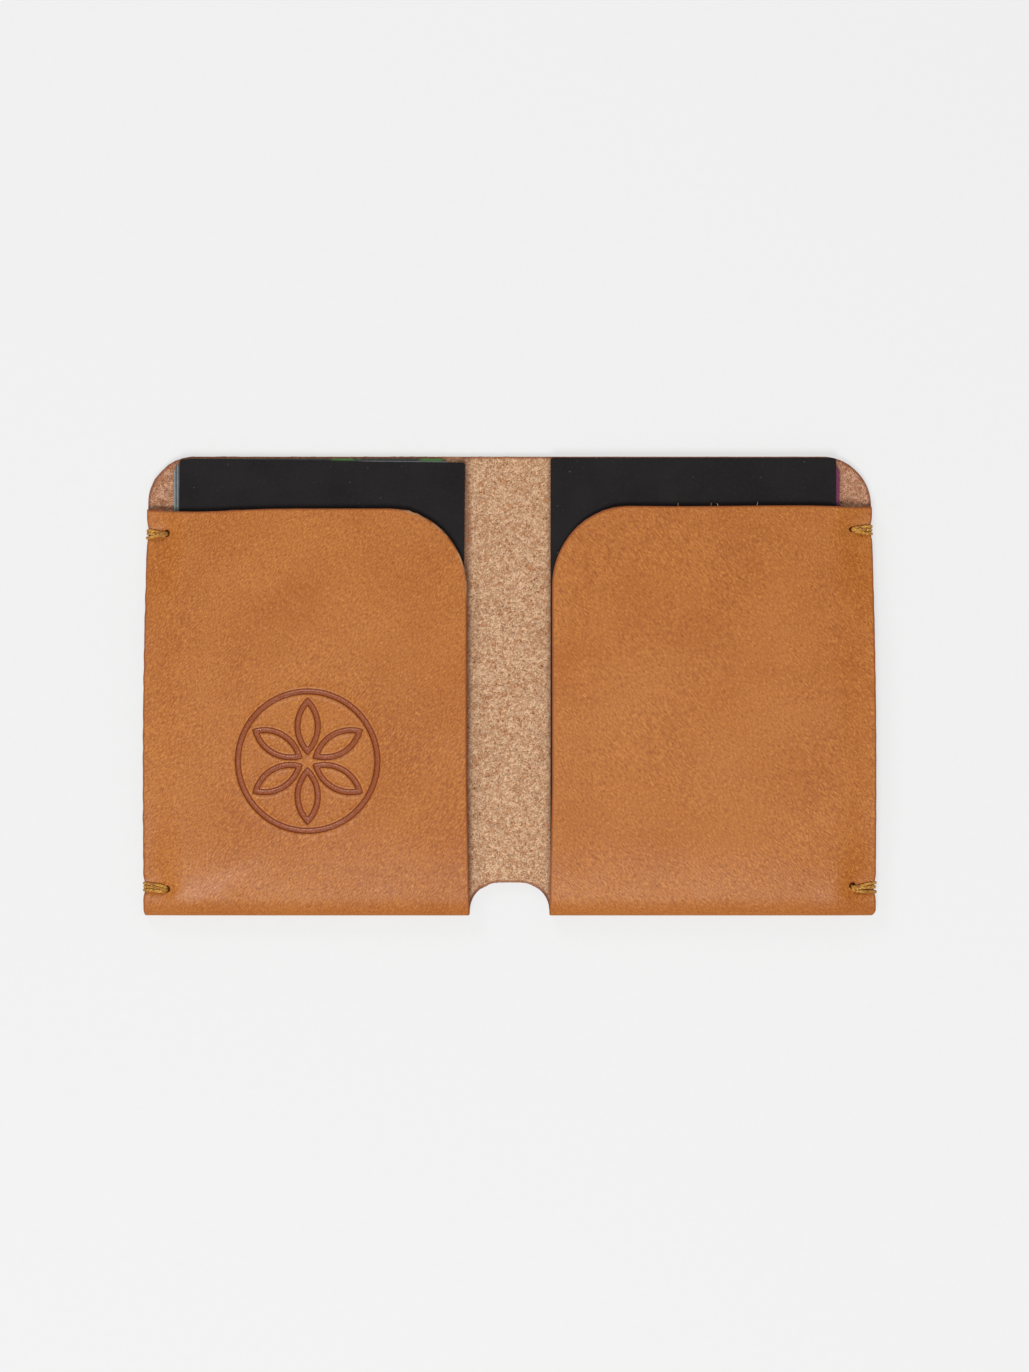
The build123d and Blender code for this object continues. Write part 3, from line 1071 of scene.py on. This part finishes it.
def black_card():
    """Matt black printed card with a little dust on it."""
    s = Surface("black_card", IOR=1.45, Specular_IOR_Level=0.05)
    clouds = s.noise(9.0, 4.0)
    fibres = s.noise(0.5, 3.0, 0.6)
    dust = s.noise(0.5, 2.0, 0.5)
    s.colour = s.mix(s.between(clouds, 0.3, 0.7), shown(32, 30, 30), shown(37, 35, 35))
    s.stain(fibres, 0.5, 0.75, 0.35, shown(48, 46, 46))
    s.stain(dust, 0.74, 0.8, 0.8, shown(110, 105, 102))
    return s.finish(s.sum((clouds, 0.12), (fibres, 0.1), (0.36, 1.0)), fibres, 0.02)


def plastic_card(name, face, worn, print_and_highlights=None):
    """A plastic card with a worn face, with print and painted highlights added over that when a function for
    them is given.
    """
    s = Surface(name, IOR=1.5, Coat_Weight=0.2, Coat_Roughness=0.25)
    scratches = s.noise(0.5, 3.0, 0.6, 0.2, s.stretched(12, 5.0))
    wear = s.noise(1.2, 3.0)
    s.colour = face
    s.stain(wear, 0.35, 0.7, 0.35, worn)
    s.stain(scratches, 0.6, 0.75, 0.3, worn)
    if print_and_highlights:
        print_and_highlights(s)
    return s.finish(s.sum((scratches, 0.25), (0.28, 1.0)), scratches, 0.015)


# Painted highlights along the grey card's outer edge: distance from the edge and colour of each.
EDGE_HIGHLIGHTS = ((0.18, shown(150, 162, 164)), (0.72, shown(136, 140, 142)))
GREEN_STRETCHES = ((-35.0, -28.0), (-18.0, -12.0))


def grey_card_print_and_highlights(s):
    """Pale lines along the grey card's outer edge, which are painted highlights, a dark band with green at
    its top, and a thin white line where its top shows over the black card."""
    low, high = corners("rear_card_left")
    black = corners("front_card_left")[1].y
    across, up, _ = s.axes()
    # Painted highlights: pale lines along the card's outer edge.
    for place, shade in EDGE_HIGHLIGHTS:
        s.stain(s.apart(across, low.x + place), 0.13, 0.04, 0.85, shade)
    printed = s.between(up, high.y - 2.2, high.y - 1.8)
    band = s.times(printed, s.between(across, low.x + 1.2, low.x + 1.6))
    s.cover(band, shown(30, 28, 26))
    patchy = s.between(s.noise(1.6, 3.0), 0.36, 0.5)
    for start, end in GREEN_STRETCHES:
        stretch = (s.between(across, start, start + 1.5), s.between(across, end, end - 1.5))
        s.cover(s.times(*stretch, patchy, printed), shown(50, 96, 34))
    slant = s.sum((across, math.tan(math.radians(BLACK_CARD_TURN))), (up, 1.0))
    line = s.between(s.apart(slant, black - 0.6), 0.12, 0.05)
    line = s.times(line, s.between(across, -31.0, -26.0, 0.0, 0.8))
    s.cover(line, shown(186, 192, 194))


FLOOR_GLOW = 0.64


def plain_floor():
    """Even pale paper, which also shines a little by itself."""
    glow = {"Emission_Color": (1, 1, 1, 1), "Emission_Strength": FLOOR_GLOW}
    s = Surface("plain_floor", Specular_IOR_Level=0.0, **glow)
    paper = s.noise(1.5, 4.0)
    s.colour = s.mix(s.between(paper, 0.3, 0.7), (0.222, 0.222, 0.222), (0.228, 0.228, 0.228))
    return s.finish(s.sum((paper, 0.05), (0.95, 1.0)))


# ---- The room. The camera looks straight down on the pockets ----
FRAME_WIDE = 197.9 * MM
FRAME_HIGH = FRAME_WIDE * 4 / 3
CAMERA_DISTANCE = 0.8
CAMERA_X = 0.96 * MM
POCKET_FACE = 2.7 * LEATHER * MM
SENSOR = 36.0
FLOOR_HALF = 3.0 / MM
FLOOR_GAP = 0.05 * MM
SURROUND = 0.38

# Each light's place and side in metres, and its power in watts.
LIGHTS = {
    "softbox": ((-0.1, -0.53, 1.08), 0.46, 10.2),
    "side_light": ((-0.5, 0.85, 0.6), 0.3, 2.6),
}


def set_camera():
    camera = new_object("camera", bpy.data.cameras.new("camera"))
    camera.data.sensor_width = SENSOR
    camera.data.lens = SENSOR * CAMERA_DISTANCE / FRAME_HIGH
    camera.data.clip_end = 10.0
    camera.location = (CAMERA_X, 0, CAMERA_DISTANCE + POCKET_FACE)
    bpy.context.scene.camera = camera


def area_light(name, place, size, power):
    """A square area light, aimed at the middle of the holder."""
    light = new_object(name, bpy.data.lights.new(name, "AREA"))
    light.data.energy = power
    light.data.size = size
    light.location = place
    light.rotation_euler = (-Vector(place)).to_track_quat("-Z", "Y").to_euler()


def set_room():
    scene = bpy.context.scene
    scene.view_settings.view_transform = "Standard"
    square = [(FLOOR_HALF * x, FLOOR_HALF * y, 0) for x, y in ((-1, -1), (1, -1), (1, 1), (-1, 1))]
    floor = new_mesh("floor", square, [(0, 1, 2, 3)], [plain_floor()])
    floor.location.z = -FLOOR_GAP
    for name, (place, size, power) in LIGHTS.items():
        area_light(name, place, size, power)
    world = bpy.data.worlds.new("studio")
    world.use_nodes = True
    background = world.node_tree.nodes["Background"]
    background.inputs["Color"].default_value = (1.0, 1.0, 1.0, 1.0)
    background.inputs["Strength"].default_value = SURROUND
    scene.world = world


def add_leather():
    flesh = flesh_leather("flesh_side")
    cut = cut_leather("cut_edge")
    for side, name in SIDE_NAMES.items():
        grain = grain_leather(f"grain_side_{name}", STREAKS[side])
        half = leather_half(side, [grain, flesh, cut])
        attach(half, f"{name}_half")
        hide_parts(f"back_panel_{name}", f"bottom_fold_{name}", f"pocket_{name}")
        spine = spine_half(side, [grain, flesh, cut])
        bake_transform(spine)
        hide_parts("spine")
    fibres = stray_fibres(loose_fibre())
    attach(fibres, "right_half")


def add_tacks():
    material = waxed_thread()
    for side, end in TACKS:
        tack = thread_tack(side, end, material)
        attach(tack, f"{SIDE_NAMES[side]}_half")
        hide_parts(f"thread_tack_{end}_{SIDE_NAMES[side]}")


def add_cards():
    black = black_card()
    grey = plastic_card("grey_plastic", shown(62, 68, 70), shown(110, 118, 120), grey_card_print_and_highlights)
    magenta = plastic_card("magenta_plastic", shown(106, 18, 68), shown(134, 46, 92))
    cards = (
        ("left_rear", "rear_card_left", ID_CARD, 0.0, grey, "grey_card"),
        ("left_front", "front_card_left", PAPER_CARD, -BLACK_CARD_TURN, black, "black_card"),
        ("right_rear", "rear_card_right", ID_CARD, 0.0, magenta, "magenta_card"),
        ("right_front", "front_card_right", PAPER_CARD, 0.0, black, "black_card"),
    )
    for body, node, size, turn, material, slot in cards:
        piece = card(f"card_{body}", node, *size, math.radians(turn), material)
        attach(piece, f"card_{body}")
        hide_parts(node)


set_camera()
set_room()
add_leather()
add_tacks()
add_cards()
